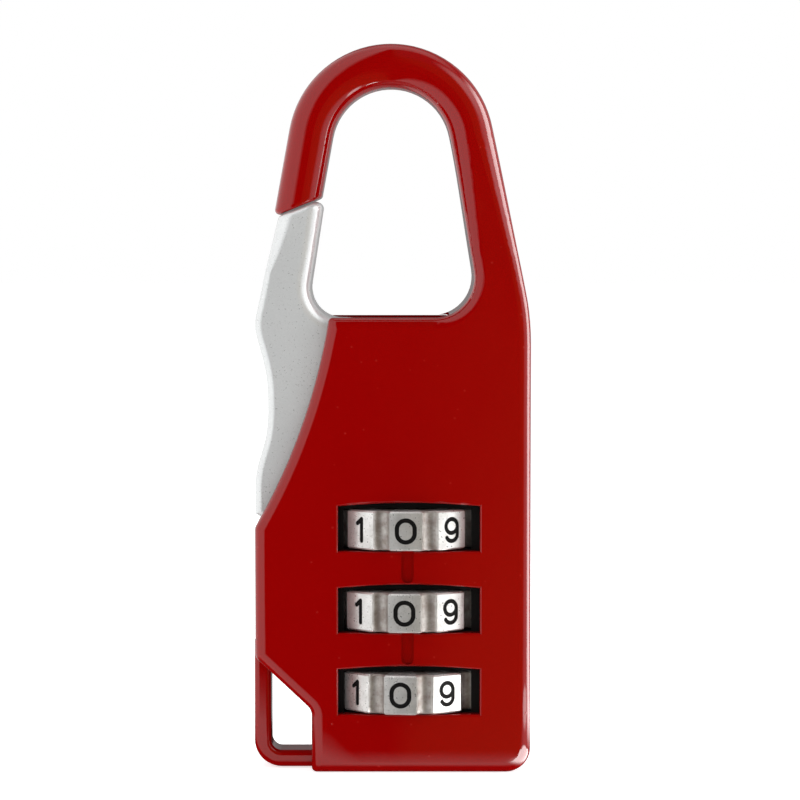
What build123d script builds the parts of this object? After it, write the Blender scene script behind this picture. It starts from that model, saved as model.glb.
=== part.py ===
from build123d import *
import math
import os

# Side-opening luggage padlock: a die-cast casing with a fixed hook, a gate lever that swings
# inward to open it, and three number dials on one upright spindle.
# Millimetres. X to the right, Y to the back, Z up; the origin is under the middle of the lock,
# on the plane it stands on. The number side faces -Y.

os.makedirs("parts", exist_ok=True)

# ---- driving dimensions ----
HALF_WIDTH = 12.37          # casing, side to side
HALF_DEPTH = 5.75           # casing, middle to front or back face
WALL = 1.1                  # front wall and back cover
INNER = HALF_DEPTH - WALL   # inside face of both walls
TOP = 40.5                  # casing top, the floor of the shackle opening
BOTTOM = -0.4               # casing's underside; the parts are lifted by this much when saved
EDGE = 1.0                  # rounding of the casing's edges
LEFT_SIDE = -12.36
FOOT_LEFT = -7.3            # casing's left wall below the slant behind the loop

HOOK_CENTRE = (-0.15, 55.8)
HOOK_RADIUS = 7.35          # to the middle of the bar
HOOK_BAR = 3.95             # width of the bar seen from the front
HOOK_HALF_DEPTH = 3.25
HOOK_EDGE = 1.75
ARCH_START = 10.8           # degrees above horizontal, right leg
ARCH_END = 169.7            # left leg
LEG_BEND = 41.0             # height where the leg starts to thin
LEG_CUT = 46.0              # height where the cast leg hands over to the lofted hook
TIP_ANGLE = 22.0            # slant of the hook tip and of the lever's top
TIP_POINT = (-8.6, 50.38)   # middle of the hook tip's slanted face
TIP_GAP = 0.1
LOOP_BAR = 1.5
LOOP_DEPTH = 3.4
LOOP_BACK = 0.1             # its back face, so that it sits nearer the number side
LOOP_X, LOOP_Z = -11.78, 0.46   # middle of its upright and of its lower bar

GATE_SWEEP_CENTRE = (-59.9, 49.1)  # the arc of the casing edge beside the lever
GATE_SWEEP_R = 54.87
PIVOT = (-8.5, 26.0)
BARREL_R = 4.75             # rounded lower end of the lever
PIN_R = 1.0
PIN_BORE_R = 1.08
PIN_SEAT = 0.6
LEVER_HALF = 4.5
LEVER_EDGE = 1.25           # rounding of the lever's inner edges
LEVER_OUTER_EDGE = 0.6      # and of its outer edges, below the arm
LEVER_TOP = 40.35
LEVER_END = (4.9, 39.2)     # upper corner of the arm that reaches into the casing
LEVER_TIP_HALF = 3.2
ARM_CUT = 44.6
ARM_BEND = 41.0
BARREL_TOP = 22.45          # height where the barrel end meets the lever's left side
FLANK = (-12.36, 22.85)     # lower end of the lever's left side
BARREL_END = 250.0          # degrees round the pivot
NOSE = (0.575, 34.03)
NOSE_R = 1.2

AXIS_X = 1.32               # the dials' axis
WINDOW_X = 1.45
WINDOW_Z = (21.65, 14.3, 6.95)
DIAL_Z = tuple(z - 0.1 for z in WINDOW_Z)
DIAL_NAMES = ("top", "middle", "bottom")
DIAL_TURN = (1.3, 2.3, 5.3)  # degrees that each dial rests past its number, towards the left
WINDOW_HALF = 6.35
WINDOW_HEIGHT = 4.05
WINDOW_ARCH = 0.3
WINDOW_EDGE = 0.2
INDEX_WIDTH, INDEX_LENGTH, INDEX_DEPTH = 1.1, 2.5, 0.35
DIAL_R = 7.1
DIAL_HALF = 1.75
LAND_HALF = 11.75           # degrees, half of one number's flat
GROOVE_DEPTH = 0.5
NUMERAL_DEPTH = 0.22
NUMERAL_STROKE = 0.39

SHAFT_R = 1.2
NECK_R = 0.8                # spindle's end, riveted into its head
FIN_R = 2.1
FIN_HALF_ANGLE = 16.0
FIN_LOW, FIN_HIGH = 0.9, 1.7        # above the dial's middle
WEB_LOW, WEB_HIGH = -0.5, 0.7
SLEEVE_R = 2.8
SLEEVE_BORE_R = 2.2
WEB_HOLE_R = 1.3
SLEEVE_BELOW = 3.2
SLEEVE_ABOVE = 4.05
TOP_SLEEVE_ABOVE = 2.1
KEY_R = 3.5
KEY_LOW, KEY_HIGH = 0.7, 1.65
DIAL_BORE_R = 2.88
NOTCH_R = 3.6
NOTCH_LOW = 0.65
SLOT_R = 3.8                # clearance round the sleeves in the cage

PLATE_LOW, PLATE_HIGH = 26.1, 26.9
WASHER_HIGH = 27.1
HEAD_LOW, HEAD_HIGH = 32.0, 32.8
HEAD_R = 2.2
SPINDLE_FOOT = 5.0
BUTTON_LOW, SHOULDER_Z, BUTTON_HIGH = -0.15, 1.75, 3.6
BUTTON_R = 1.7
FLANGE_R = 2.85

CAGE_LEFT, CAGE_RIGHT = -7.0, 9.6
CAGE_LOW, CAGE_HIGH = 3.9, 24.7
CAGE_HALF = 4.6
POCKET_R = 7.35             # round each dial
POCKET_HALF = 1.85
LEAF = 0.25
DETENT_TOUCH = 8.64         # middle of a finger's tip
DETENT_RIVET_Z = (10.4, 17.75)
RIVETS = ((-5.0, 2.2), (9.2, 2.2), (-9.7, 13.5), (10.05, 33.5))
RIVET_R = 0.7
RIVET_LENGTH = 8.0
RIVET_SINK = 0.5
RIVET_HEAD_R = 1.05


def save(piece, name):
    """Lift one finished piece onto the standing plane, label it and write its STEP file."""
    piece = piece.moved(Location((0, 0, -BOTTOM)))
    piece.label = name
    export_step(piece, f"parts/{name}.step")


def leg_depth(z):
    """Half depth of the right leg, from the casing's depth at its foot to the hook's."""
    t = (z - LEG_BEND) / 16.0
    return HOOK_HALF_DEPTH + (HALF_DEPTH - HOOK_HALF_DEPTH) * (1 + math.cos(math.pi * t)) / 2


def leg_inner(z):
    return 7.37 - (z - 43.9) * 0.1658


def leg_outer(z):
    return 11.86 - (z - 43.0) * 0.1922


def arm_depth(z):
    """Half depth of the lever's arm, easing from its flat part to its tip."""
    t = min((z - ARM_BEND) / 10.0, 1.0)
    return LEVER_TIP_HALF + (LEVER_HALF - LEVER_TIP_HALF) * (1 + math.cos(math.pi * t)) / 2


def arm_outer(z):
    return -10.58 - (48.4 - z) * 0.2299


def arm_inner(z):
    return -6.32 - (50.3 - z) * 0.1594


def outline_edges(block, *seams):
    """Edges round a block's front and back faces, without those that lie along a seam height."""
    rims = block.faces().filter_by(lambda f: abs(f.normal_at().Y) > 0.9)
    return [edge for face in rims for edge in face.edges()
            if all(abs(edge.start_point().Z - z) + abs(edge.end_point().Z - z) > 0.02 for z in seams)]


def hook_plane(angle):
    """Plane across the hook's bar at an angle round its arch; local x points outward."""
    turn = math.radians(angle)
    out = Vector(math.cos(turn), 0, math.sin(turn))
    along = Vector(-math.sin(turn), 0, math.cos(turn))
    middle = Vector(HOOK_CENTRE[0], 0, HOOK_CENTRE[1]) + out * HOOK_RADIUS
    return Plane(origin=middle, x_dir=out, z_dir=along)


def slant_plane(x, z):
    """Plane of the slanted joint between the hook tip and the lever, facing up."""
    turn = math.radians(TIP_ANGLE)
    return Plane(origin=(x, 0, z), x_dir=(math.cos(turn), 0, math.sin(turn)),
                 z_dir=(-math.sin(turn), 0, math.cos(turn)))


def window():
    """Draw the three number windows, each with an arched top, in the open sketch."""
    for z in WINDOW_Z:
        low, high = z - WINDOW_HEIGHT / 2, z + WINDOW_HEIGHT / 2
        left, right = WINDOW_X - WINDOW_HALF, WINDOW_X + WINDOW_HALF
        with BuildLine() as frame:
            Polyline((left, high), (left, low), (right, low), (right, high))
            ThreePointArc((right, high), (WINDOW_X, high + WINDOW_ARCH), (left, high))
        make_face(frame.edges())


def sector(radius, half_angle, directions, x=0):
    """Draw wedges of a circle round a point on the X axis; 0 degrees faces the front, -Y."""
    far = radius * 2
    spread = far * math.tan(math.radians(half_angle))
    with Locations((x, 0)):
        for direction in directions:
            with PolarLocations(0, 1, start_angle=direction - 90):
                Polygon((0, 0), (far, -spread), (far, spread), align=None)
        Circle(radius, mode=Mode.INTERSECT)


def cover_outline():
    """Draw the back cover's outline in the open sketch, its left side cut by the lever's arc."""
    with BuildLine() as outline:
        FilletPolyline(
            (-11.15, TOP), (5.0, TOP), (5.0, 39.3), (11.2, 39.3), (11.2, 1.2), (-5.95, 1.2),
            (-5.95, 5.9), (-11.15, 11.0),
            radius=[0, 0, 0.4, 1.2, 1.4, 0.6, 0.8, 0.8], close=True)
    make_face(outline.edges())
    with Locations(GATE_SWEEP_CENTRE):
        Circle(GATE_SWEEP_R, mode=Mode.SUBTRACT)


def coil(radius, wire, low, high, turns):
    """A round-wire compression spring on the dials' axis between two heights."""
    rise = high - low - 2 * wire
    with BuildPart() as spring:
        with BuildLine():
            path = Helix(pitch=rise / turns, height=rise, radius=radius,
                         center=(AXIS_X, 0, low + wire))
        with BuildSketch(Plane(origin=path @ 0, z_dir=path % 0)):
            Circle(wire)
        sweep(path=path, is_frenet=True)
    return spring.part


# ---- main casing ----
# The casing with the foot of its right leg, thinned upward by a side profile. The lever's bay is
# cut out of its left side by one long arc.
with BuildPart() as casing_block:
    with BuildSketch(Plane.XZ):
        with BuildLine():
            FilletPolyline(
                (FOOT_LEFT, BOTTOM), (HALF_WIDTH, BOTTOM), (HALF_WIDTH, 40.5),
                (leg_outer(LEG_CUT), LEG_CUT), (leg_inner(LEG_CUT), LEG_CUT),
                (leg_inner(TOP), TOP), (-12.4, TOP), (LEFT_SIDE, 9.95), (FOOT_LEFT, 5.2),
                radius=[0.4, 2.2, 23, 0, 0, 3.6, 0, 0.8, 1.2], close=True)
        make_face()
        with Locations(GATE_SWEEP_CENTRE):
            Circle(GATE_SWEEP_R, mode=Mode.SUBTRACT)
        for corner, rounding in (((LEFT_SIDE, 21.7), 0.8), ((-5.7, TOP), 0.4)):
            fillet(vertices().sort_by_distance(corner)[0], rounding)
    extrude(amount=HALF_DEPTH, both=True)
    with BuildSketch(Plane.YZ):
        with BuildLine():
            for side in (1, -1):
                bend = (side * HALF_DEPTH, LEG_BEND)
                TangentArc(bend, (side * leg_depth(LEG_CUT), LEG_CUT), tangent=(0, 1))
                Polyline(bend, (side * HALF_DEPTH, -1), (0, -1))
                Line((side * leg_depth(LEG_CUT), LEG_CUT), (0, LEG_CUT))
        make_face()
    extrude(amount=20, both=True, mode=Mode.INTERSECT)
    fillet(outline_edges(casing_block, LEG_CUT, LEG_BEND), EDGE)

# The hook: the leg lofted from the casing's section to the bar's, the arch, and the left leg
# cut off on a slant.
with BuildPart() as hook:
    for z, edge in ((LEG_CUT, EDGE), (49.5, 1.2), (53.0, 1.45)):
        middle = (leg_inner(z) + leg_outer(z)) / 2
        with BuildSketch(Plane(origin=(middle, 0, z), x_dir=(1, 0, 0), z_dir=(0, 0, 1))):
            RectangleRounded(leg_outer(z) - leg_inner(z), 2 * leg_depth(z), edge)
    with BuildSketch(hook_plane(ARCH_START)):
        RectangleRounded(HOOK_BAR, 2 * HOOK_HALF_DEPTH, HOOK_EDGE)
    loft()
    with BuildSketch(hook_plane(ARCH_START)):
        RectangleRounded(HOOK_BAR, 2 * HOOK_HALF_DEPTH, HOOK_EDGE)
    revolve(axis=Axis((HOOK_CENTRE[0], 0, HOOK_CENTRE[1]), (0, -1, 0)),
            revolution_arc=ARCH_END - ARCH_START)
    with BuildSketch(hook_plane(ARCH_END)):
        RectangleRounded(HOOK_BAR, 2 * HOOK_HALF_DEPTH, HOOK_EDGE)
    extrude(amount=9)
    with BuildSketch(slant_plane(*TIP_POINT)):
        Rectangle(10, 10)
    extrude(amount=-10, mode=Mode.SUBTRACT)
    tip = hook.faces().filter_by(GeomType.PLANE).filter_by(
        lambda f: abs(f.normal_at().dot(slant_plane(*TIP_POINT).z_dir)) > 0.999)
    fillet(tip.edges(), 0.4)

# The lanyard loop at the lower left corner.
with BuildPart() as lanyard_loop:
    with BuildSketch(Plane.XZ.offset(-LOOP_BACK)):
        with BuildLine():
            FilletPolyline((LOOP_X, 11.2), (LOOP_X, LOOP_Z), (-6.0, LOOP_Z), radius=1.7)
        trace(line_width=LOOP_BAR)
    extrude(amount=LOOP_DEPTH)
    fillet(outline_edges(lanyard_loop), 0.45)

with BuildPart() as main_casing:
    add(casing_block.part)
    add(hook.part)
    add(lanyard_loop.part)
    # Bay for the gate lever: round its barrel end and pivot, and open at the left and the top.
    with BuildSketch(Plane.XZ):
        with Locations(PIVOT):
            Circle(BARREL_R + 0.2)
        with Locations((PIVOT[0] - 10, PIVOT[1] - 8)):
            Rectangle(20, 20, mode=Mode.INTERSECT)
        with Locations(PIVOT):
            Circle(2.4)
        with BuildLine():
            Polyline((-14, 41.5), (5.1, 41.5), (5.1, 39.4), (8.6, 39.4), (8.6, 27.2), (-14, 27.2),
                     close=True)
        make_face()
    extrude(amount=INNER, both=True, mode=Mode.SUBTRACT)
    # Pocket for the dial cage and its detent spring.
    with BuildSketch(Plane.XZ):
        with Locations(((-7.1 + 10.9) / 2, (3.8 + 24.8) / 2)):
            Rectangle(18.0, 21.0)
    extrude(amount=INNER, both=True, mode=Mode.SUBTRACT)
    # Slot for the spindle through the shoulder between the two, and the bearing plate's groove.
    with BuildSketch(Plane.XY.offset(24.7)):
        with Locations((AXIS_X, 0)):
            Circle(3.9)
            Rectangle(7.8, INNER, align=(Align.CENTER, Align.MIN))
    extrude(amount=2.6, mode=Mode.SUBTRACT)
    with BuildSketch(Plane.XY.offset(PLATE_LOW - 0.05)):
        with Locations((AXIS_X, 0.05)):
            Rectangle(13.0, 9.2)
    extrude(amount=PLATE_HIGH - PLATE_LOW + 0.1, mode=Mode.SUBTRACT)
    # Recess for the back cover.
    with BuildSketch(Plane.XZ.offset(-INNER)):
        cover_outline()
        offset(amount=0.05)
    extrude(amount=-2 * WALL, mode=Mode.SUBTRACT)
    # Number windows and the index grooves below the upper two.
    with BuildSketch(Plane.XZ.offset(HALF_DEPTH)):
        window()
    extrude(amount=-2 * WALL, mode=Mode.SUBTRACT)
    number_side = main_casing.faces().filter_by(Axis.Y).sort_by(Axis.Y)[0]
    fillet([edge for wire in number_side.inner_wires() for edge in wire.edges()], WINDOW_EDGE)
    with BuildSketch(Plane.XZ.offset(HALF_DEPTH)):
        for z in WINDOW_Z[:2]:
            high = z - WINDOW_HEIGHT / 2
            with Locations((AXIS_X, high + 0.2)):
                Rectangle(INDEX_WIDTH, INDEX_LENGTH, align=(Align.CENTER, Align.MAX))
            with Locations((AXIS_X, high + 0.2 - INDEX_LENGTH)):
                Circle(INDEX_WIDTH / 2)
    extrude(amount=-INDEX_DEPTH, mode=Mode.SUBTRACT)
    # Blind seats for the pivot pin and the rivets, and the stepped hole for the reset button.
    with BuildSketch(Plane.XZ.offset(INNER)):
        with Locations(PIVOT):
            Circle(PIN_R)
    extrude(amount=PIN_SEAT, mode=Mode.SUBTRACT)
    with BuildSketch(Plane.XZ.offset(-INNER)):
        with Locations(RIVETS):
            Circle(RIVET_R)
    extrude(amount=RIVET_LENGTH, mode=Mode.SUBTRACT)
    with BuildSketch(Plane.XY.offset(BOTTOM)):
        with Locations((AXIS_X, 0)):
            Circle(BUTTON_R + 0.08)
    extrude(amount=5, mode=Mode.SUBTRACT)
    with BuildSketch(Plane.XY.offset(SHOULDER_Z)):
        with Locations((AXIS_X, 0)):
            Circle(FLANGE_R + 0.15)
    extrude(amount=3, mode=Mode.SUBTRACT)
save(main_casing.part, "main_casing")

# ---- back cover ----
with BuildPart() as back_cover:
    with BuildSketch(Plane.XZ.offset(-INNER)):
        cover_outline()
    extrude(amount=-WALL)
    back_face = back_cover.faces().sort_by(Axis.Y)[-1]
    sweep_edge = back_face.edges().filter_by(GeomType.CIRCLE).sort_by(lambda e: e.radius)[-1]
    top_edge = back_face.edges().filter_by(GeomType.LINE).sort_by(lambda e: e.center().Z)[-1]
    fillet([sweep_edge, top_edge], EDGE)
    with BuildSketch(Plane.XZ.offset(-INNER)):
        window()
    extrude(amount=-WALL, mode=Mode.SUBTRACT)
    with BuildSketch(Plane.XZ.offset(-INNER)):
        with Locations(PIVOT):
            Circle(PIN_R)
    extrude(amount=-PIN_SEAT, mode=Mode.SUBTRACT)
    for x, z in RIVETS:
        with BuildSketch(Plane.XZ.offset(-INNER)):
            with Locations((x, z)):
                Circle(RIVET_R)
        extrude(amount=-WALL, mode=Mode.SUBTRACT)
        with BuildSketch(Plane.XZ.offset(RIVET_SINK - HALF_DEPTH)):
            with Locations((x, z)):
                Circle(RIVET_R)
        with BuildSketch(Plane.XZ.offset(-HALF_DEPTH)):
            with Locations((x, z)):
                Circle(RIVET_HEAD_R)
        loft(mode=Mode.SUBTRACT)
save(back_cover.part, "back_cover")

# Four countersunk rivets hold the cover.
with BuildPart() as casing_rivets:
    for x, z in RIVETS:
        with BuildSketch(Plane.XZ.offset(RIVET_LENGTH - INNER)):
            with Locations((x, z)):
                Circle(RIVET_R)
        extrude(amount=RIVET_SINK - HALF_DEPTH - RIVET_LENGTH + INNER)
        with BuildSketch(Plane.XZ.offset(RIVET_SINK - HALF_DEPTH)):
            with Locations((x, z)):
                Circle(RIVET_R)
        with BuildSketch(Plane.XZ.offset(-HALF_DEPTH)):
            with Locations((x, z)):
                Circle(RIVET_HEAD_R)
        loft()
save(casing_rivets.part, "casing_rivets")

# ---- gate lever ----
# The flat lower part with its barrel end, pivot boss and inner arm, whose nose works the spindle.
with BuildPart() as lever_plate:
    with BuildSketch(Plane.XZ):
        with BuildLine():
            barrel_start = 180 + math.degrees(math.asin((PIVOT[1] - BARREL_TOP) / BARREL_R))
            barrel = CenterArc(PIVOT, BARREL_R, barrel_start, BARREL_END - barrel_start)
            Spline((arm_outer(ARM_CUT), ARM_CUT), (-12.05, 41.7), (-12.36, 39.8), (-11.98, 37.9),
                   (-11.33, 35.1), (-11.2, 32.8), (-11.43, 29.7), (-12.05, 27.5), (FLANK[0], 25.3),
                   tangents=((-0.22, -1), (0, -1)))
            Polyline((FLANK[0], 25.3), FLANK, barrel @ 0)
            FilletPolyline(
                barrel @ 1, (-8.9, 24.2), (-7.3, 27.4), (-2.6, 33.6), (1.9, 34.9), (4.9, 36.6),
                LEVER_END, (-4.2, LEVER_TOP), (arm_inner(LEVER_TOP), LEVER_TOP),
                (arm_inner(ARM_CUT), ARM_CUT),
                radius=[0, 0, 1.0, 1.0, 0.8, 0, 0, 2.8])
            Line((arm_inner(ARM_CUT), ARM_CUT), (arm_outer(ARM_CUT), ARM_CUT))
        make_face()
        with Locations(PIVOT):
            Circle(2.1)
        with Locations(NOSE):
            Circle(NOSE_R)
    extrude(amount=LEVER_HALF, both=True)
    with BuildSketch(Plane.YZ):
        with BuildLine():
            for side in (1, -1):
                bend = (side * LEVER_HALF, ARM_BEND)
                TangentArc(bend, (side * arm_depth(ARM_CUT), ARM_CUT), tangent=(0, 1))
                Polyline(bend, (side * LEVER_HALF, 20), (0, 20))
                Line((side * arm_depth(ARM_CUT), ARM_CUT), (0, ARM_CUT))
        make_face()
    extrude(amount=20, both=True, mode=Mode.INTERSECT)
    rims = outline_edges(lever_plate, ARM_CUT, ARM_BEND)
    fillet([edge for edge in rims if edge.center().X < -10.2], LEVER_OUTER_EDGE)
    fillet([edge for edge in rims if edge.center().X > -10.2 and edge.center().Z > LEVER_END[1]],
           LEVER_EDGE)

# Its arm, rounding off towards the tip that closes the hook.
with BuildPart() as lever_arm:
    for z, outer, inner in ((ARM_CUT, LEVER_OUTER_EDGE, LEVER_EDGE), (47.0, 1.0, LEVER_EDGE),
                            (51.5, 1.4, 1.4)):
        middle = (arm_inner(z) + arm_outer(z)) / 2
        with BuildSketch(Plane(origin=(middle, 0, z), x_dir=(1, 0, 0), z_dir=(0, 0, 1))):
            Rectangle(arm_inner(z) - arm_outer(z), 2 * arm_depth(z))
            fillet(vertices().group_by(Axis.X)[0], outer)
            fillet(vertices().group_by(Axis.X)[-1], inner)
    loft()
    joint = slant_plane(*TIP_POINT)
    with BuildSketch(joint.offset(-TIP_GAP)):
        Rectangle(10, 10)
    extrude(amount=5, mode=Mode.SUBTRACT)
    tip = lever_arm.faces().filter_by(GeomType.PLANE).filter_by(
        lambda f: abs(f.normal_at().dot(joint.z_dir)) > 0.999)
    fillet(tip.edges(), 0.6)

with BuildPart() as gate_lever:
    add(lever_plate.part)
    add(lever_arm.part)
    with BuildSketch(Plane.XZ):
        with Locations(PIVOT):
            Circle(PIN_BORE_R)
    extrude(amount=LEVER_HALF + 1, both=True, mode=Mode.SUBTRACT)
save(gate_lever.part, "gate_lever")

with BuildPart() as gate_pivot_pin:
    with BuildSketch(Plane.XZ):
        with Locations(PIVOT):
            Circle(PIN_R)
    extrude(amount=INNER + PIN_SEAT, both=True)
save(gate_pivot_pin.part, "gate_pivot_pin")

# ---- spindle ----
# A shaft with one fin above each code sleeve's web, and a head that the lever's nose presses.
with BuildPart() as spindle:
    with BuildSketch(Plane.XY.offset(SPINDLE_FOOT)):
        with Locations((AXIS_X, 0)):
            Circle(SHAFT_R)
    extrude(amount=HEAD_LOW - SPINDLE_FOOT)
    for z in DIAL_Z:
        with BuildSketch(Plane.XY.offset(z + FIN_LOW)):
            sector(FIN_R, FIN_HALF_ANGLE, (0,), AXIS_X)
        extrude(amount=FIN_HIGH - FIN_LOW)
    with BuildSketch(Plane.XY.offset(HEAD_LOW)):
        with Locations((AXIS_X, 0)):
            Circle(NECK_R)
    extrude(amount=HEAD_HIGH - HEAD_LOW - 0.2)
    chamfer(spindle.faces().sort_by(Axis.Z)[0].edges(), 0.2)
save(spindle.part, "spindle")

with BuildPart() as spindle_head:
    with BuildSketch(Plane.XY.offset(HEAD_LOW)):
        with Locations((AXIS_X, 0)):
            Circle(HEAD_R)
    extrude(amount=HEAD_HIGH - HEAD_LOW)
    chamfer(spindle_head.edges(), 0.12)
    with BuildSketch(Plane.XY.offset(HEAD_LOW)):
        with Locations((AXIS_X, 0)):
            Circle(NECK_R)
    extrude(amount=HEAD_HIGH - HEAD_LOW - 0.2, mode=Mode.SUBTRACT)
save(spindle_head.part, "spindle_head")

with BuildPart() as spindle_bearing_plate:
    with BuildSketch(Plane.XY.offset(PLATE_LOW)):
        with Locations((AXIS_X, 0.05)):
            Rectangle(12.9, 9.1)
        with Locations((AXIS_X, 0)):
            Circle(SHAFT_R + 0.08, mode=Mode.SUBTRACT)
    extrude(amount=PLATE_HIGH - PLATE_LOW)
save(spindle_bearing_plate.part, "spindle_bearing_plate")

with BuildPart() as spring_washer:
    with BuildSketch(Plane.XY.offset(PLATE_HIGH)):
        with Locations((AXIS_X, 0)):
            Circle(HEAD_R)
            Circle(SHAFT_R + 0.1, mode=Mode.SUBTRACT)
    extrude(amount=WASHER_HIGH - PLATE_HIGH)
save(spring_washer.part, "spring_washer")

spindle_spring = coil(1.72, 0.2, WASHER_HIGH + 0.01, HEAD_LOW - 0.01, 5)
save(spindle_spring, "spindle_spring")

# ---- number dials ----
def ring(x, y, radius):
    """Two half circles, one numeral's closed bowl."""
    ThreePointArc((x - radius, y), (x, y + radius), (x + radius, y))
    ThreePointArc((x - radius, y), (x, y - radius), (x + radius, y))


def numeral(digit):
    """Draw a numeral on the open sketch: centred, 2.35 high, in even strokes with round ends."""
    wide, tall = 0.79, 0.98
    with BuildLine() as strokes:
        if digit == 0:
            ThreePointArc((wide, 0.24), (0, tall), (-wide, 0.24))
            ThreePointArc((wide, -0.24), (0, -tall), (-wide, -0.24))
            Line((wide, 0.24), (wide, -0.24))
            Line((-wide, 0.24), (-wide, -0.24))
        elif digit == 1:
            Polyline((-0.34, 0.58), (0.12, tall), (0.12, -tall))
        elif digit == 2:
            ThreePointArc((-0.6, 0.5), (0, tall), (0.6, 0.4))
            Polyline((0.6, 0.4), (-0.66, -tall), (0.68, -tall))
        elif digit == 3:
            ThreePointArc((-0.42, 0.74), (0.45, 0.66), (0, 0.02))
            ThreePointArc((0, 0.06), (0.51, -0.55), (-0.45, -0.72))
        elif digit == 4:
            Polyline((0.3, -tall), (0.3, tall), (-0.66, -0.38), (0.7, -0.38))
        elif digit == 5:
            Polyline((0.56, tall), (-0.42, tall), (-0.5, 0.14))
            ThreePointArc((-0.5, 0.14), (0.6, -0.32), (-0.58, -0.74))
        elif digit == 7:
            Polyline((-0.62, tall), (0.62, tall), (-0.2, -tall))
        elif digit == 8:
            ring(0, 0.49, 0.49)
            ring(0, -0.45, 0.53)
        else:
            turn = 1 if digit == 9 else -1
            ring(0, turn * 0.36, 0.62)
            Line((turn * 0.62, turn * 0.36), (turn * 0.62, turn * -0.3))
            ThreePointArc((turn * 0.62, turn * -0.3), (turn * 0.06, turn * -tall),
                          (turn * -0.52, turn * -0.66))
    for stroke in strokes.edges():
        trace(stroke, line_width=NUMERAL_STROKE)
        with Locations(stroke @ 0, stroke @ 1):
            Circle(NUMERAL_STROKE / 2)


with BuildPart() as dial:
    land = math.radians(LAND_HALF)
    with BuildSketch(Plane.XY.offset(-DIAL_HALF)):
        with BuildLine():
            for step in range(10):
                start = math.radians(36 * step + 18)
                groove = math.pi / 10 + start
                low, high = (Vector(DIAL_R * math.cos(start + side * land),
                                    DIAL_R * math.sin(start + side * land)) for side in (-1, 1))
                after = start + math.pi / 5 - land
                Line(low, high)
                ThreePointArc(high, Vector((DIAL_R - GROOVE_DEPTH) * math.cos(groove),
                                           (DIAL_R - GROOVE_DEPTH) * math.sin(groove)),
                              Vector(DIAL_R * math.cos(after), DIAL_R * math.sin(after)))
        make_face()
        Circle(DIAL_BORE_R, mode=Mode.SUBTRACT)
    extrude(amount=2 * DIAL_HALF)
    rims = dial.faces().filter_by(Axis.Z)
    chamfer([edge for face in rims for edge in face.outer_wire().edges()], 0.14)
    with BuildSketch(Plane.XY.offset(NOTCH_LOW)):
        sector(NOTCH_R, 7.0, range(0, 360, 36))
    extrude(amount=DIAL_HALF, mode=Mode.SUBTRACT)
    for digit in range(10):
        turn = math.radians(36 * digit)
        out = Vector(-math.sin(turn), -math.cos(turn), 0)
        face = Plane(origin=out * (DIAL_R * math.cos(land)), z_dir=out,
                     x_dir=(math.cos(turn), -math.sin(turn), 0))
        with BuildSketch(face):
            numeral(digit)
        extrude(amount=-NUMERAL_DEPTH, mode=Mode.SUBTRACT)

for name, z, turn in zip(DIAL_NAMES, DIAL_Z, DIAL_TURN):
    save(Pos(AXIS_X, 0, z) * Rot(0, 0, -turn) * dial.part, f"number_dial_{name}")

# ---- code sleeves ----
# Each sleeve turns with its dial through two keys and has a web that only the fin's slot opens.
for name, z, turn in zip(DIAL_NAMES, DIAL_Z, DIAL_TURN):
    above = TOP_SLEEVE_ABOVE if name == "top" else SLEEVE_ABOVE
    with BuildPart() as code_sleeve:
        with BuildSketch(Plane.XY.offset(z - SLEEVE_BELOW)):
            with Locations((AXIS_X, 0)):
                Circle(SLEEVE_R)
        extrude(amount=SLEEVE_BELOW + above)
        with BuildSketch(Plane.XY.offset(z + KEY_LOW)):
            sector(KEY_R, 5.0, (-turn, 180 - turn), AXIS_X)
        extrude(amount=KEY_HIGH - KEY_LOW)
        for low, high in ((z - SLEEVE_BELOW, z + WEB_LOW), (z + WEB_HIGH, z + above)):
            with BuildSketch(Plane.XY.offset(low)):
                with Locations((AXIS_X, 0)):
                    Circle(SLEEVE_BORE_R)
            extrude(amount=high - low, mode=Mode.SUBTRACT)
        with BuildSketch(Plane.XY.offset(z + WEB_LOW)):
            sector(SLEEVE_BORE_R, FIN_HALF_ANGLE + 9, (-turn,), AXIS_X)
            with Locations((AXIS_X, 0)):
                Circle(WEB_HOLE_R)
        extrude(amount=WEB_HIGH - WEB_LOW, mode=Mode.SUBTRACT)
    save(code_sleeve.part, f"code_sleeve_{name}")

# ---- reset button and spring ----
with BuildPart() as reset_button:
    for low, high, radius in ((BUTTON_LOW, SHOULDER_Z, BUTTON_R), (SHOULDER_Z, BUTTON_HIGH, FLANGE_R)):
        with BuildSketch(Plane.XY.offset(low)):
            with Locations((AXIS_X, 0)):
                Circle(radius)
        extrude(amount=high - low)
    chamfer(reset_button.faces().sort_by(Axis.Z)[0].edges(), 0.2)
    with BuildSketch(Plane.XY.offset(1.0)):
        with Locations((AXIS_X, 0)):
            Circle(SHAFT_R + 0.1)
    extrude(amount=BUTTON_HIGH, mode=Mode.SUBTRACT)
save(reset_button.part, "reset_button")

reset_spring = coil(2.5, 0.17, DIAL_Z[0] + TOP_SLEEVE_ABOVE + 0.01, PLATE_LOW - 0.01, 2.5)
save(reset_spring, "reset_spring")

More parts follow.
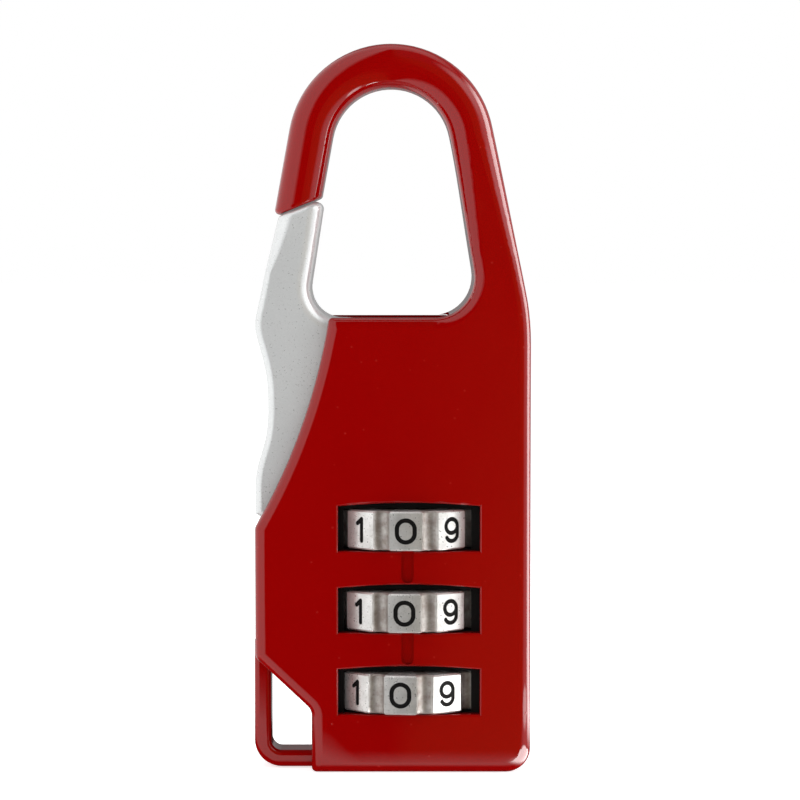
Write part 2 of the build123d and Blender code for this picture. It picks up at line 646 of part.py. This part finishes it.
# ---- dial cage ----
with BuildPart() as dial_cage:
    with BuildSketch(Plane.XZ):
        with BuildLine():
            Polyline((CAGE_LEFT, CAGE_LOW), (CAGE_RIGHT, CAGE_LOW), (CAGE_RIGHT, CAGE_HIGH),
                     (CAGE_LEFT + 1.2, CAGE_HIGH), (CAGE_LEFT, CAGE_HIGH - 1.2), close=True)
        make_face()
    extrude(amount=CAGE_HALF, both=True)
    for z in DIAL_Z:
        with BuildSketch(Plane.XY.offset(z - POCKET_HALF)):
            with Locations((AXIS_X, 0)):
                Circle(POCKET_R)
                Rectangle(2 * POCKET_R, 5, align=(Align.CENTER, Align.MIN))
        extrude(amount=2 * POCKET_HALF, mode=Mode.SUBTRACT)
        with BuildSketch(Plane.XY.offset(z - 2.6)):
            with Locations((CAGE_RIGHT, 0)):
                Rectangle(3, 2.2)
        extrude(amount=4.2, mode=Mode.SUBTRACT)
    with BuildSketch(Plane.XY.offset(CAGE_LOW)):
        with Locations((AXIS_X, 0)):
            Circle(SLOT_R)
            Rectangle(2 * SLOT_R, 5, align=(Align.CENTER, Align.MIN))
    extrude(amount=CAGE_HIGH - CAGE_LOW, mode=Mode.SUBTRACT)
    with BuildSketch(Plane.YZ.offset(CAGE_RIGHT)):
        with Locations(*((0, z) for z in DETENT_RIVET_Z)):
            Circle(0.4)
    extrude(amount=-0.9, mode=Mode.SUBTRACT)
save(dial_cage.part, "dial_cage")

# ---- detent spring ----
# One leaf with three bent fingers that bear on the dials' rims from the right.
with BuildPart() as detent_spring:
    with BuildSketch(Plane.YZ.offset(CAGE_RIGHT)):
        with Locations((0, (CAGE_LOW + CAGE_HIGH) / 2)):
            Rectangle(3.4, CAGE_HIGH - CAGE_LOW - 0.2)
        with Locations(*((0, z - 0.3) for z in DIAL_Z)):
            Rectangle(2.2, 3.6, mode=Mode.SUBTRACT)
    extrude(amount=LEAF)
    for z in DIAL_Z:
        with BuildSketch(Plane.XZ):
            with BuildLine():
                Polyline((CAGE_RIGHT + LEAF / 2, z - 2.4), (CAGE_RIGHT + LEAF / 2, z - 1.9),
                         (DETENT_TOUCH, z), (DETENT_TOUCH + 0.5, z + 0.9))
            trace(line_width=LEAF)
        extrude(amount=0.8, both=True)
    with BuildSketch(Plane.YZ.offset(CAGE_RIGHT)):
        with Locations(*((0, z) for z in DETENT_RIVET_Z)):
            Circle(0.4)
    extrude(amount=LEAF, mode=Mode.SUBTRACT)
save(detent_spring.part, "detent_spring")

with BuildPart() as detent_rivets:
    for radius, low, high in ((0.4, -0.9, LEAF), (0.75, LEAF, LEAF + 0.3)):
        with BuildSketch(Plane.YZ.offset(CAGE_RIGHT + low)):
            with Locations(*((0, z) for z in DETENT_RIVET_Z)):
                Circle(radius)
        extrude(amount=high - low)
save(detent_rivets.part, "detent_rivets")
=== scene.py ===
import math

import bmesh
import bpy
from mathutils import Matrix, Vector


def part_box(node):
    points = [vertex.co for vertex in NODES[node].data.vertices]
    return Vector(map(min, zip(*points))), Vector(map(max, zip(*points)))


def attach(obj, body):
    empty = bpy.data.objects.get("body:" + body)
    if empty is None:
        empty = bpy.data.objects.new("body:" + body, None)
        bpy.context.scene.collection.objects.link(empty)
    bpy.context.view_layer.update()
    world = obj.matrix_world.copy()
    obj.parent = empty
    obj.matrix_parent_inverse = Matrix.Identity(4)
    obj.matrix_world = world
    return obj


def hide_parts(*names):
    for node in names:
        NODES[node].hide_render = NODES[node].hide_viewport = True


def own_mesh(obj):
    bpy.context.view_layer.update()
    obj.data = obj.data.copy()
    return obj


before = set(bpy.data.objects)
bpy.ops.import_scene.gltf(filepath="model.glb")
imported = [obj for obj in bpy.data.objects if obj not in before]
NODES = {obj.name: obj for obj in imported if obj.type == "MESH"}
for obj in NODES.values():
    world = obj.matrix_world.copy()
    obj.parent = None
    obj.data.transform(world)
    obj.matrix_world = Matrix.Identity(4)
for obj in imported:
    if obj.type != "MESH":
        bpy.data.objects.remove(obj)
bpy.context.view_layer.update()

MM = 0.001
WHITE = (1, 1, 1, 1)
AXIS_X = sum(corner.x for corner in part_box("spindle_head")) / 2     # the dials' axis
DIALS = ("top", "middle", "bottom")
DIAL_TURN = {"top": 1.3, "middle": 2.3, "bottom": 5.3}      # degrees each dial rests past its number
DIGITS = 10
DIGIT_STEP = 360 / DIGITS       # degrees from one number to the next
DIAL_RADIUS = 7.1 * MM
LAND_HALF = 11.75               # degrees, half of one number's flat
DIAL_APOTHEM = DIAL_RADIUS * math.cos(math.radians(LAND_HALF))      # axis to a number's flat
NUMERAL_DEPTH = 0.22 * MM
PAINT_DEPTH = 0.7 * NUMERAL_DEPTH
NEAR = 0.01 * MM                # a face this close to a numeral's floor belongs to it
SQUARE_ON = 0.99                # and so does a face whose normal is this close to the flat's
WELD = 1e-7                     # metres; corners closer than this are one


# ---- shader helpers ----
def node(tree, kind, inputs=None, **settings):
    """Add a shader node. An input is a number, a colour, or the socket that it is linked from."""
    made = tree.nodes.new("ShaderNode" + kind)
    for key, value in settings.items():
        setattr(made, key, value)
    for key, value in (inputs or {}).items():
        if isinstance(value, bpy.types.NodeSocket):
            tree.links.new(value, made.inputs[key])
        else:
            made.inputs[key].default_value = value
    return made


def maths(tree, operation, *values, clamp=False):
    """A Math node's result."""
    return node(tree, "Math", dict(enumerate(values)), operation=operation, use_clamp=clamp).outputs[0]


def noise(tree, vector, scale, detail=2.0, roughness=0.5):
    """A noise texture's value; the scale is in cells per metre."""
    return node(tree, "TexNoise", {"Vector": vector, "Scale": scale, "Detail": detail,
                                   "Roughness": roughness}).outputs["Fac"]


def ranged(tree, value, low, high, to_low=0.0, to_high=1.0, smooth=False):
    """Map a value from one range to another, held at both ends."""
    return node(tree, "MapRange", {"Value": value, "From Min": low, "From Max": high,
                                   "To Min": to_low, "To Max": to_high},
                interpolation_type="SMOOTHSTEP" if smooth else "LINEAR").outputs["Result"]


def mixed(tree, factor, first, second, blend="MIX"):
    """Mix two colours."""
    made = node(tree, "Mix", data_type="RGBA", blend_type=blend)
    sockets = {"Factor_Float": factor, "A_Color": first, "B_Color": second}
    for socket in made.inputs:
        value = sockets.get(socket.identifier)
        if isinstance(value, bpy.types.NodeSocket):
            tree.links.new(value, socket)
        elif value is not None:
            socket.default_value = value
    return next(socket for socket in made.outputs if socket.identifier == "Result_Color")


def grey(brightness):
    """An opaque grey."""
    return (brightness, brightness, brightness, 1)


def stretched(tree, vector, scale):
    """The same coordinates, scaled differently along each axis."""
    return node(tree, "Mapping", {"Vector": vector, "Scale": scale}).outputs["Vector"]


def bumped(tree, height, distance, normal=None):
    """A bump's normal; the distance is metres for a height of one."""
    inputs = {"Height": height, "Distance": distance, "Strength": 1.0}
    if normal is not None:
        inputs["Normal"] = normal
    return node(tree, "Bump", inputs).outputs["Normal"]


def finish(name, **fixed):
    """A new material: its tree, its shader with the fixed sockets set, and object coordinates."""
    material = bpy.data.materials.new(name)
    material.use_nodes = True
    tree = material.node_tree
    tree.nodes.clear()
    shader = node(tree, "BsdfPrincipled")
    for key, value in fixed.items():
        shader.inputs[key.replace("_", " ")].default_value = value
    output = node(tree, "OutputMaterial")
    tree.links.new(shader.outputs["BSDF"], output.inputs["Surface"])
    return material, tree, shader, node(tree, "TexCoord").outputs["Object"]


def join(tree, shader, **sockets):
    """Link sockets to the shader's inputs of the same names."""
    for key, socket in sockets.items():
        tree.links.new(socket, shader.inputs[key.replace("_", " ")])


# ---- materials ----
def red_enamel(name, seed):
    """Glossy red enamel over die-cast metal, with orange peel and a few specks of dust in it."""
    made, tree, shader, place = finish(name, Specular_IOR_Level=0.0, Coat_Weight=1.0,
                                       Coat_Roughness=0.025, Coat_IOR=1.5)
    place = node(tree, "VectorMath", {0: place, 1: (seed, seed * 0.7, 0)}, operation="ADD").outputs[0]
    depth = noise(tree, place, 55.0, 3.0)
    fine = noise(tree, place, 2600.0, 2.0)
    colour = mixed(tree, depth, (0.218, 0.0003, 0.0003, 1), (0.252, 0.0004, 0.0004, 1))
    colour = mixed(tree, maths(tree, "MULTIPLY", fine, 0.22), colour, (0.175, 0.0002, 0.0002, 1))
    specks = node(tree, "TexVoronoi", {"Vector": place, "Scale": 620.0}, feature="F1").outputs["Distance"]
    specks = ranged(tree, specks, 0.045, 0.075, 1.0, 0.0)
    colour = mixed(tree, maths(tree, "MULTIPLY", specks, 0.35), colour, (0.36, 0.02, 0.016, 1))
    peel = noise(tree, place, 620.0, 1.5, 0.4)
    wave = noise(tree, place, 190.0, 1.0, 0.3)
    normal = bumped(tree, wave, 0.030 * MM)
    normal = bumped(tree, peel, 0.006 * MM, normal=normal)
    coat = bumped(tree, specks, 0.008 * MM, normal=normal)
    join(tree, shader, Base_Color=colour, Roughness=ranged(tree, fine, 0.3, 0.7, 0.34, 0.46),
         Normal=normal, Coat_Normal=coat)
    return made


def silver_lacquer(name):
    """Satin silver lacquer with fine flakes and a faint cloudiness, under a clear coat."""
    made, tree, shader, place = finish(name, Metallic=0.45, Coat_Weight=0.8, Coat_Roughness=0.16,
                                       Coat_IOR=1.5)
    flakes = node(tree, "TexVoronoi", {"Vector": place, "Scale": 9000.0}, feature="F1").outputs["Color"]
    flake = node(tree, "SeparateColor", {"Color": flakes}).outputs["Red"]
    grain = noise(tree, place, 5200.0, 3.0, 0.7)
    cloud = noise(tree, place, 140.0, 3.0)
    colour = mixed(tree, flake, (0.66, 0.675, 0.67, 1), (0.74, 0.755, 0.75, 1))
    colour = mixed(tree, ranged(tree, grain, 0.35, 0.65, 0.0, 0.7), colour, (0.68, 0.69, 0.695, 1))
    colour = mixed(tree, ranged(tree, cloud, 0.3, 0.7, 0.0, 0.15), colour, (0.54, 0.55, 0.56, 1))
    join(tree, shader, Base_Color=colour, Roughness=ranged(tree, grain, 0.3, 0.7, 0.26, 0.36),
         Normal=bumped(tree, grain, 0.0015 * MM))
    return made


def dial_plating(name, turn):
    """Bright nickel on a cast dial: slightly crowned, pitted flats, and painted shade with some grime in
    the grooves.

    Distances round the dial are in steps from one number to the next, so a flat reaches about
    a third of a step to either side of its middle.
    """
    made, tree, shader, place = finish(name, Metallic=0.72)
    parts = node(tree, "SeparateXYZ", {"Vector": place})
    across = maths(tree, "SUBTRACT", parts.outputs["X"], AXIS_X)
    angle = maths(tree, "ARCTAN2", across, parts.outputs["Y"])
    cell = maths(tree, "ADD", maths(tree, "DIVIDE", angle, math.radians(DIGIT_STEP)),
                 0.5 - turn / DIGIT_STEP)
    off = maths(tree, "ABSOLUTE", maths(tree, "SUBTRACT", maths(tree, "FRACT", cell), 0.5))
    crown = maths(tree, "POWER", maths(tree, "MINIMUM", off, 0.33), 2.0)
    crown = maths(tree, "MULTIPLY", crown, -40.0)
    edge = maths(tree, "ADD", off, maths(tree, "MULTIPLY", noise(tree, place, 700.0, 3.0), 0.05))
    groove = ranged(tree, edge, 0.335, 0.40, smooth=True)
    cast = noise(tree, place, 900.0, 4.0, 0.6)
    pits = noise(tree, place, 3600.0, 2.0, 0.6)
    lines = noise(tree, stretched(tree, place, (1.0, 1.0, 0.06)), 7000.0, 1.0)
    colour = mixed(tree, ranged(tree, cast, 0.3, 0.7), (0.78, 0.77, 0.75, 1), (0.60, 0.59, 0.57, 1))
    colour = mixed(tree, ranged(tree, pits, 0.60, 0.78, 0.0, 0.6), colour, (0.30, 0.27, 0.24, 1))
    # painted shade: the grooves between the flats darken towards brown, with some grime varied by the
    # casting noise
    groove_shade_and_grime = maths(tree, "MULTIPLY", groove, ranged(tree, cast, 0.25, 0.6, 0.45, 0.8))
    colour = mixed(tree, groove_shade_and_grime, colour, (0.20, 0.155, 0.13, 1))
    height = maths(tree, "ADD", maths(tree, "MULTIPLY", cast, 1.6), maths(tree, "MULTIPLY", lines, 0.25))
    height = maths(tree, "ADD", height, crown)
    roughness = maths(tree, "ADD", ranged(tree, pits, 0.3, 0.7, 0.26, 0.40),
                      maths(tree, "MULTIPLY", groove, 0.15))
    join(tree, shader, Base_Color=colour, Roughness=roughness, Normal=bumped(tree, height, 0.014 * MM))
    return made


def numeral_paint(name):
    """Black paint wiped into the engraved numerals, a little uneven."""
    made, tree, shader, place = finish(name, Specular_IOR_Level=0.1)
    blot = noise(tree, place, 2400.0, 3.0)
    colour = mixed(tree, blot, (0.002, 0.002, 0.002, 1), (0.008, 0.007, 0.007, 1))
    join(tree, shader, Base_Color=colour, Roughness=ranged(tree, blot, 0.3, 0.7, 0.45, 0.65),
         Normal=bumped(tree, blot, 0.02 * MM))
    return made


def black_plastic_and_window_shade(name):
    """Black moulded plastic with a fine spark-eroded grain, held near-black as painted shade inside the
    dial windows.
    """
    made, tree, shader, place = finish(name, Specular_IOR_Level=0.2)
    grain = noise(tree, place, 5200.0, 3.0, 0.65)
    # painted shade: the plastic is kept near-black so that the dial windows read as deep shade around the
    # dials
    colour = mixed(tree, grain, (0.0015, 0.0015, 0.0017, 1), (0.005, 0.005, 0.0055, 1))
    join(tree, shader, Base_Color=colour, Roughness=ranged(tree, grain, 0.3, 0.7, 0.48, 0.62),
         Normal=bumped(tree, grain, 0.014 * MM))
    return made


def turned_metal(name, light, dark, roughness):
    """Turned or drawn metal: rings across its axis, with a little tarnish."""
    made, tree, shader, place = finish(name, Metallic=1.0)
    rings = noise(tree, stretched(tree, place, (0.05, 0.05, 1.0)), 9000.0, 1.0)
    tarnish = noise(tree, place, 420.0, 4.0, 0.6)
    colour = mixed(tree, ranged(tree, tarnish, 0.35, 0.7), light, dark)
    join(tree, shader, Base_Color=colour,
         Roughness=ranged(tree, tarnish, 0.3, 0.7, roughness, roughness + 0.14),
         Normal=bumped(tree, rings, 0.006 * MM))
    return made


FINISHES = {
    "main_casing": red_enamel("casing_enamel", 0.0),
    "back_cover": red_enamel("cover_enamel", 0.13),
    "casing_rivets": red_enamel("rivet_enamel", 0.31),
    "gate_lever": silver_lacquer("lever_lacquer"),
    "dial_cage": black_plastic_and_window_shade("cage_plastic_and_window_shade"),
    "gate_pivot_pin": turned_metal("pin_steel", (0.62, 0.62, 0.63, 1), (0.42, 0.42, 0.44, 1), 0.22),
    "spindle": turned_metal("spindle_steel", (0.66, 0.65, 0.63, 1), (0.45, 0.44, 0.42, 1), 0.24),
    "spindle_bearing_plate": turned_metal("plate_steel", (0.60, 0.60, 0.61, 1),
                                          (0.44, 0.44, 0.45, 1), 0.32),
    "spring_washer": turned_metal("washer_steel", (0.66, 0.66, 0.66, 1), (0.50, 0.50, 0.50, 1), 0.28),
    "reset_button": turned_metal("button_steel", (0.64, 0.63, 0.62, 1), (0.46, 0.45, 0.44, 1), 0.26),
    "detent_spring": turned_metal("leaf_steel", (0.56, 0.57, 0.60, 1), (0.40, 0.41, 0.44, 1), 0.26),
    "detent_rivets": turned_metal("leaf_rivet_brass", (0.72, 0.53, 0.25, 1), (0.50, 0.35, 0.16, 1), 0.30),
}
FINISHES["spindle_head"] = FINISHES["spindle"]
BRASS = turned_metal("sleeve_brass", (0.78, 0.58, 0.28, 1), (0.55, 0.38, 0.18, 1), 0.24)
for name in DIALS:
    FINISHES[f"code_sleeve_{name}"] = BRASS
    FINISHES[f"number_dial_{name}"] = dial_plating(f"dial_nickel_{name}", DIAL_TURN[name])
SPRING_WIRE = turned_metal("spring_wire", (0.60, 0.60, 0.62, 1), (0.42, 0.42, 0.45, 1), 0.2)
FINISHES["spindle_spring"] = FINISHES["reset_spring"] = SPRING_WIRE
INK = numeral_paint("numeral_black")

for name, cad in NODES.items():
    cad.data.materials.clear()
    cad.data.materials.append(FINISHES[name])


# ---- pieces of mesh ----
def new_piece(name, mesh, material, body):
    """Put a bmesh into the scene as a piece that rides on a body."""
    data = bpy.data.meshes.new(name)
    mesh.to_mesh(data)
    mesh.free()
    piece = bpy.data.objects.new(name, data)
    bpy.context.scene.collection.objects.link(piece)
    data.materials.append(material)
    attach(piece, body)
    return piece


def numeral_fill(name):
    """The paint in one dial's numerals: each engraving's floor, raised part of the way up."""
    low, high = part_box(f"number_dial_{name}")
    middle = (low.z + high.z) / 2
    mesh = bmesh.new()
    mesh.from_mesh(NODES[f"number_dial_{name}"].data)
    turns = [math.radians(DIGIT_STEP * digit + DIAL_TURN[name]) for digit in range(DIGITS)]
    outward = [Vector((-math.sin(turn), -math.cos(turn), 0)) for turn in turns]
    axis = Vector((AXIS_X, 0, middle))
    floor = DIAL_APOTHEM - NUMERAL_DEPTH

    def direction(face):
        """The way out of the dial at the numeral whose floor this face is, if it is one."""
        centre = face.calc_center_median() - axis
        for out in outward:
            if abs(centre.dot(out) - floor) < NEAR and face.normal.dot(out) > SQUARE_ON:
                return out
        return None

    others = [face for face in mesh.faces if direction(face) is None]
    bmesh.ops.delete(mesh, geom=others, context="FACES")
    bmesh.ops.remove_doubles(mesh, verts=mesh.verts, dist=WELD)
    for out in outward:
        faces = [face for face in mesh.faces if face.normal.dot(out) > SQUARE_ON]
        made = bmesh.ops.extrude_face_region(mesh, geom=faces, use_keep_orig=True)
        moved = [item for item in made["geom"] if isinstance(item, bmesh.types.BMVert)]
        bmesh.ops.translate(mesh, verts=moved, vec=out * PAINT_DEPTH)
    bmesh.ops.recalc_face_normals(mesh, faces=mesh.faces)
    new_piece(f"numeral_paint_{name}", mesh, INK, f"dial_{name}")


for name in DIALS:
    numeral_fill(name)


STEPS_PER_TURN = 40
WIRE_SIDES = 12
END_TURN = 0.75         # of a turn lies flat at each end of a spring


def spring(name, node_name, radius, wire, turns):
    """A coil spring with flat end turns, filling the length of its CAD part; wire is its radius."""
    low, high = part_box(node_name)
    bottom, top = low.z, high.z
    length = top - bottom
    steps = int(turns * STEPS_PER_TURN)
    round_wire = [2 * math.pi * side / WIRE_SIDES for side in range(WIRE_SIDES)]
    mesh = bmesh.new()
    rings = []
    for step in range(steps + 1):
        share = step / steps
        turn = 2 * math.pi * turns * share
        climb = min(max((share * turns - END_TURN) / (turns - 2 * END_TURN), 0.0), 1.0)
        middle = Vector((AXIS_X + radius * math.cos(turn), radius * math.sin(turn),
                         bottom + wire + (length - 2 * wire) * climb))
        out, up = Vector((math.cos(turn), math.sin(turn), 0)), Vector((0, 0, 1))
        rings.append([mesh.verts.new(middle + wire * (out * math.cos(angle) + up * math.sin(angle)))
                      for angle in round_wire])
    for before, after in zip(rings, rings[1:]):
        for side in range(WIRE_SIDES):
            other = (side + 1) % WIRE_SIDES
            mesh.faces.new((before[side], after[side], after[other], before[other]))
    mesh.faces.new(rings[0])
    mesh.faces.new(list(reversed(rings[-1])))
    bmesh.ops.recalc_face_normals(mesh, faces=mesh.faces)
    for face in mesh.faces:
        face.smooth = len(face.verts) == 4
    piece = new_piece(name, mesh, SPRING_WIRE, "casing")
    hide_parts(node_name)
    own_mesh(piece)


spring("spindle_coil_spring", "spindle_spring", radius=1.72 * MM, wire=0.2 * MM, turns=6)
spring("reset_coil_spring", "reset_spring", radius=2.5 * MM, wire=0.17 * MM, turns=3.5)


# ---- stage ----
LOCK_MIDDLE = (0, 0, 0.033)     # what the soft lights face
FLOOR_HALF = 3.0                # metres
FLOOR_GLOW = 0.66
AMBIENT = 0.42          # what lights matt surfaces from all round
PLAIN, WARM = (1, 1, 1), (1, 0.75, 0.3)
BRIGHTEST = 9.0
# What gloss reflects round the lock: degrees from the front towards the right, brightness and
# tint. A white wall on the left, a dark front that turns warm, and a strip light on the right.
ROUND = ((-180, 0.25, PLAIN), (-165, 0.25, PLAIN), (-155, 1.1, PLAIN), (-26, 1.1, PLAIN),
         (-14, 0.01, PLAIN), (-1, 0.01, PLAIN), (6, 0.13, WARM), (38, 0.2, WARM), (52, 0.9, PLAIN),
         (78, 1.2, PLAIN), (86, 9.0, PLAIN), (113, 8.0, PLAIN), (120, 0.7, PLAIN), (180, 0.3, PLAIN))
# Brighter round patches that gloss reflects: the middle, the radii where it starts to fade and
# where it ends, and the brightness. Two lie on the floor; the third is a direction, high on the
# right.
NEAR_PATCH = ((17.5 * MM, -9.5 * MM, 0), 6 * MM, 7.5 * MM, 14)
FAR_PATCH = ((42 * MM, -23 * MM, 0), 8 * MM, 16 * MM, 6)
HIGH_PATCH = ((0.72, -0.38, 0.58), 0.15, 0.45, 2.0)
PAINTED_SHADOW_UNDER = (0.03, 0.02, 0.02, 1)      # a painted shadow on the floor under the lock, as gloss reflects it
UNDER_LIGHT = (1.05, 1.0, 0.98, 1)      # and in front of it
UNDER_EDGE = (6 * MM, 7 * MM)           # how far ahead the one turns into the other
FLOOR_ENDS = (18 * MM, 40 * MM)         # from the middle, where the floor turns into the walls
FLOOR_ENDS_AHEAD = (8 * MM, 17 * MM)    # and the same in front
CEILING = 0.1                           # what gloss reflects from above on the right
CEILING_FADE = (0.45, 0.75)             # it comes in over these heights of the direction's Z
CEILING_SIDE = (0.0, 0.1)               # and over these of its X
PANEL = 0.9                             # a pale panel overhead, away from the front
PANEL_FADE = (0.70, 0.90)
PANEL_SIDE = (-0.15, 0.05)              # it comes in over these of the direction's Y


def surroundings(tree, vector):
    """The brightness of the walls in the direction of a vector from the lock."""
    toward = node(tree, "SeparateXYZ", {"Vector": vector}).outputs
    bearing = maths(tree, "ARCTAN2", toward["X"], maths(tree, "MULTIPLY", toward["Y"], -1.0))
    share = maths(tree, "ADD", maths(tree, "DIVIDE", bearing, 2 * math.pi), 0.5)
    walls = node(tree, "ValToRGB", {"Fac": share})
    stops = walls.color_ramp.elements
    for index, (degrees, brightness, tint) in enumerate(ROUND):
        stop = stops[index] if index < 2 else stops.new(degrees / 360 + 0.5)
        stop.position = degrees / 360 + 0.5
        stop.color = tuple(brightness / BRIGHTEST * part for part in tint) + (1,)
    return node(tree, "VectorMath", {0: walls.outputs["Color"], "Scale": BRIGHTEST},
                operation="SCALE").outputs[0]


def spot(tree, vector, patch):
    """One inside a round patch, fading to nothing at its outer radius."""
    middle, inner, outer, _ = patch
    away = node(tree, "VectorMath", {0: vector, 1: middle}, operation="DISTANCE").outputs["Value"]
    return ranged(tree, away, inner, outer, 1.0, 0.0, smooth=True)


def stage_floor():
    """A plain pale floor. Gloss sees a painted shadow on it just under the lock, and what gloss reflects
    of it passes into the walls a short way off.
    """
    made = bpy.data.materials.new("floor_paper")
    made.use_nodes = True
    tree = made.node_tree
    tree.nodes.clear()
    place = node(tree, "TexCoord").outputs["Object"]
    fibre = noise(tree, place, 300.0, 4.0)
    paper = node(tree, "BsdfDiffuse", {"Color": mixed(tree, fibre, grey(0.86), grey(0.90))})
    glow = node(tree, "Emission", {"Color": WHITE, "Strength": FLOOR_GLOW})
    pale = node(tree, "AddShader", {0: paper.outputs[0], 1: glow.outputs[0]})
    reach = node(tree, "VectorMath", {0: place}, operation="LENGTH").outputs["Value"]
    ahead = maths(tree, "MULTIPLY", node(tree, "SeparateXYZ", {"Vector": place}).outputs["Y"], -1.0)
    gone = maths(tree, "MAXIMUM", ranged(tree, reach, *FLOOR_ENDS, smooth=True),
                 ranged(tree, ahead, *FLOOR_ENDS_AHEAD, smooth=True))
    # painted shadow: as gloss sees it, the floor is dark just under the lock's front and light beyond
    beside = mixed(tree, ranged(tree, ahead, *UNDER_EDGE), PAINTED_SHADOW_UNDER, UNDER_LIGHT)
    under = node(tree, "Emission", {"Color": beside})
    patch = spot(tree, place, NEAR_PATCH)
    walls = mixed(tree, spot(tree, place, FAR_PATCH), surroundings(tree, place), grey(FAR_PATCH[-1]))
    walls = mixed(tree, patch, walls, grey(NEAR_PATCH[-1]))
    near = node(tree, "MixShader", {0: maths(tree, "MAXIMUM", gone, patch), 1: under.outputs[0],
                                    2: node(tree, "Emission", {"Color": walls}).outputs[0]})
    mirrored = node(tree, "LightPath").outputs["Is Glossy Ray"]
    shown = node(tree, "MixShader", {0: mirrored, 1: pale.outputs[0], 2: near.outputs[0]})
    tree.links.new(shown.outputs[0], node(tree, "OutputMaterial").inputs["Surface"])
    mesh = bmesh.new()
    bmesh.ops.create_grid(mesh, x_segments=4, y_segments=4, size=FLOOR_HALF)
    data = bpy.data.meshes.new("floor")
    mesh.to_mesh(data)
    mesh.free()
    floor = bpy.data.objects.new("floor", data)
    bpy.context.scene.collection.objects.link(floor)
    data.materials.append(made)


def aimed(thing, at):
    """Turn a light or camera to face a point."""
    thing.rotation_mode = "QUATERNION"
    thing.rotation_quaternion = (Vector(at) - thing.location).to_track_quat("-Z", "Y")


def softbox(name, place, size, radiance):
    """A rectangular soft light aimed at the lock and not seen in gloss; metres."""
    data = bpy.data.lights.new(name, "AREA")
    data.shape = "RECTANGLE"
    data.size, data.size_y = size
    data.energy = radiance * math.pi * size[0] * size[1]
    light = bpy.data.objects.new(name, data)
    bpy.context.scene.collection.objects.link(light)
    light.location = place
    light.visible_glossy = False
    aimed(light, LOCK_MIDDLE)


stage_floor()
softbox("softbox_left", (-0.40, -0.16, 0.12), (0.34, 0.50), 1.7)
softbox("softbox_right", (0.40, -0.06, 0.12), (0.34, 0.50), 3.6)
softbox("softbox_top", (0, 0.02, 0.50), (0.50, 0.40), 1.6)
softbox("softbox_front", (-0.30, -0.60, 0.42), (0.30, 0.30), 2.0)

# ---- world: white to the camera, even light to matt surfaces, the walls to gloss ----
world = bpy.data.worlds.new("studio")
bpy.context.scene.world = world
world.use_nodes = True
sky = world.node_tree
sky.nodes.clear()
ray = node(sky, "LightPath").outputs
toward = node(sky, "TexCoord").outputs["Generated"]
lean = node(sky, "SeparateXYZ", {"Vector": toward}).outputs
ceiling = maths(sky, "MULTIPLY", ranged(sky, lean["Z"], *CEILING_FADE, smooth=True),
                ranged(sky, lean["X"], *CEILING_SIDE))
gloss = mixed(sky, ceiling, surroundings(sky, toward), grey(CEILING))
panel = maths(sky, "MULTIPLY", ranged(sky, lean["Z"], *PANEL_FADE, smooth=True),
              ranged(sky, lean["Y"], *PANEL_SIDE, smooth=True))
gloss = mixed(sky, panel, gloss, grey(PANEL))
gloss = mixed(sky, spot(sky, toward, HIGH_PATCH), gloss, grey(HIGH_PATCH[-1]))
level = mixed(sky, ray["Is Glossy Ray"], grey(AMBIENT), gloss)
level = mixed(sky, ray["Is Camera Ray"], level, WHITE)
sky.links.new(node(sky, "Background", {"Color": level}).outputs[0],
              node(sky, "OutputWorld").inputs["Surface"])
bpy.context.scene.view_settings.view_transform = "Standard"

# ---- camera ----
FRAME_WIDTH = 71.3 * MM         # what the picture spans at the casing's front
DISTANCE = 235 * MM             # camera to the casing's front
EYE = 47.4 * MM                 # the camera's height
SHIFT = -0.03                   # of the frame's width, so that the camera needn't tilt as far
SENSOR = 36.0
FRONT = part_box("main_casing")[0].y
MIDDLE_X, MIDDLE_Z = 0.65 * MM, 33.6 * MM   # what lies in the middle of the picture
TARGET = Vector((MIDDLE_X, FRONT, MIDDLE_Z - SHIFT * FRAME_WIDTH))
camera_data = bpy.data.cameras.new("camera")
camera = bpy.data.objects.new("camera", camera_data)
bpy.context.scene.collection.objects.link(camera)
camera.location = (TARGET.x, FRONT - DISTANCE, EYE)
aimed(camera, TARGET)
camera_data.sensor_width = SENSOR
camera_data.lens = SENSOR * (camera.location - TARGET).length / FRAME_WIDTH
camera_data.shift_y = SHIFT
camera_data.clip_start, camera_data.clip_end = 0.01, 20.0
bpy.context.scene.camera = camera
